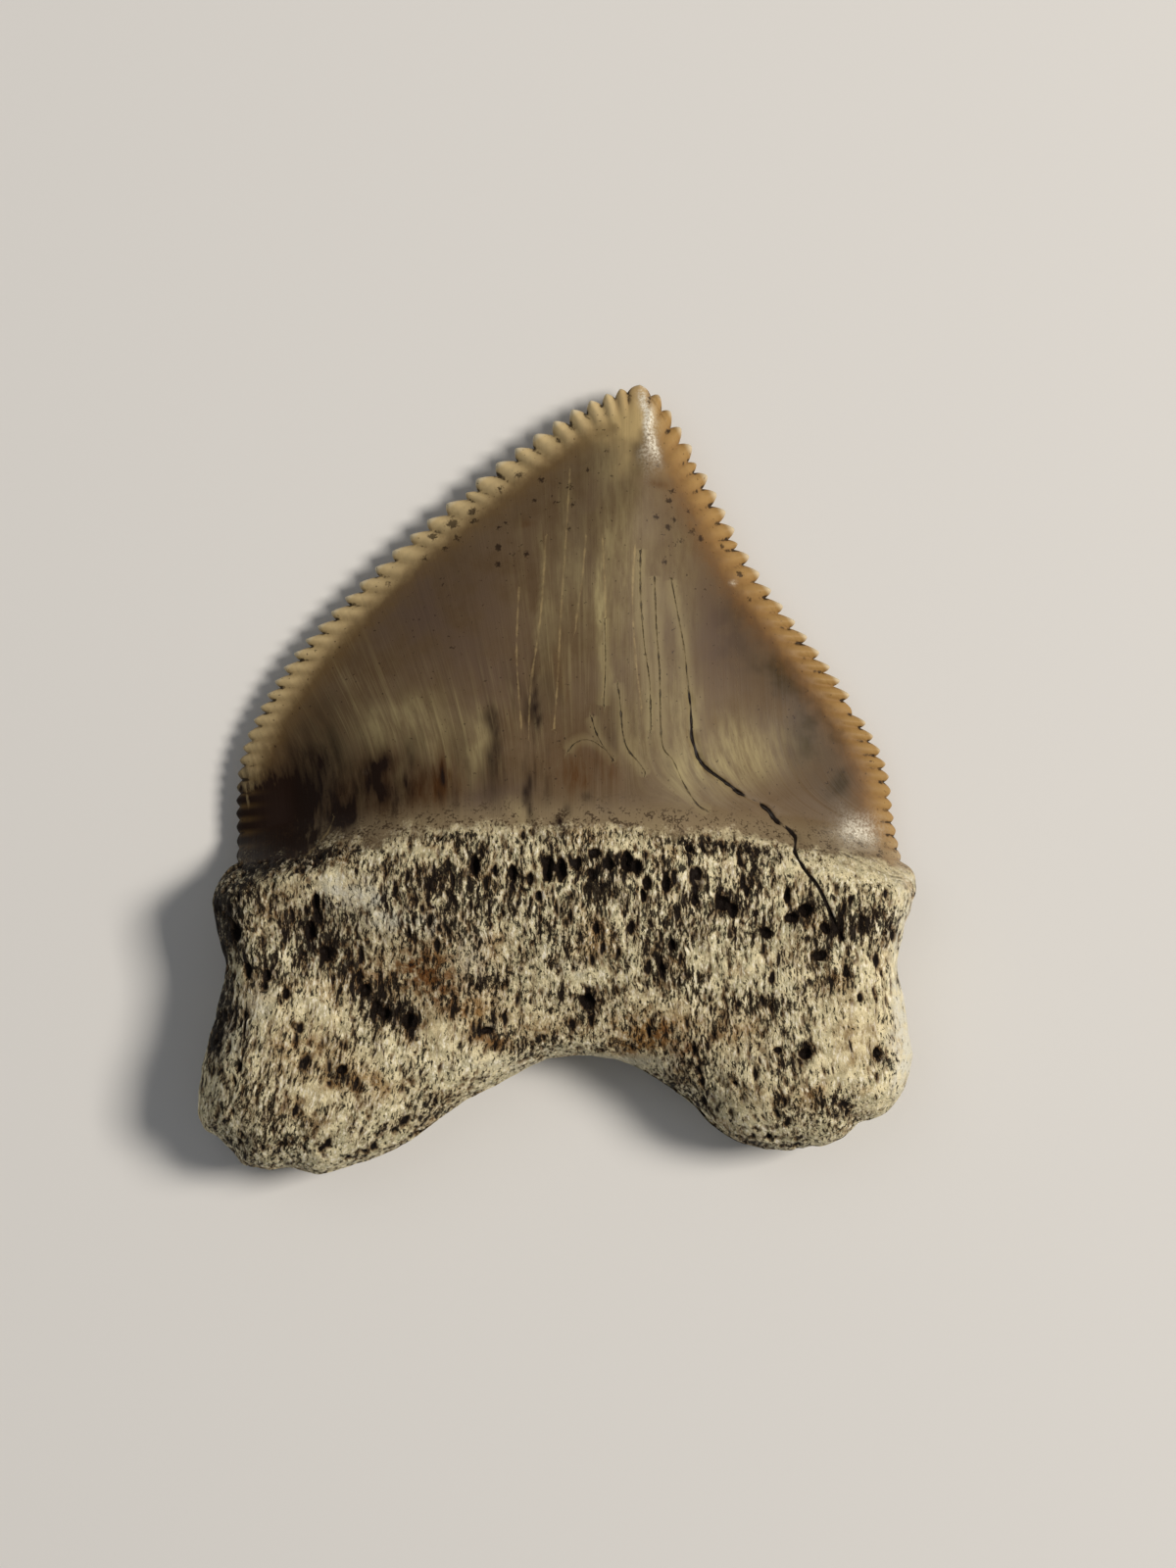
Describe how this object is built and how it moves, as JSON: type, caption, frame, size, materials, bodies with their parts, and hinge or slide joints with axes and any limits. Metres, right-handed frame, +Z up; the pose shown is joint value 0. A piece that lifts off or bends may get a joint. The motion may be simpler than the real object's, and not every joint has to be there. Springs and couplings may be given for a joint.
{
  "type": "fossil shark tooth",
  "caption": "Broad triangular fossil shark tooth with saw-toothed cutting edges and a porous two-lobed root, lying flat.",
  "frame": {"origin": "centre of the tooth's outline, on the surface that it lies on", "axes": "+Y from the root to the tip, +Z up out of the fuller face, +X to the right as the picture shows it"},
  "size_m": [0.025, 0.0274, 0.0056],
  "materials": {
    "tooth": "satin brown enamel on the crown, matt porous cream bone on the root"
  },
  "bodies": {
    "root": {"tooth": "tooth"}
  },
  "joints": []
}
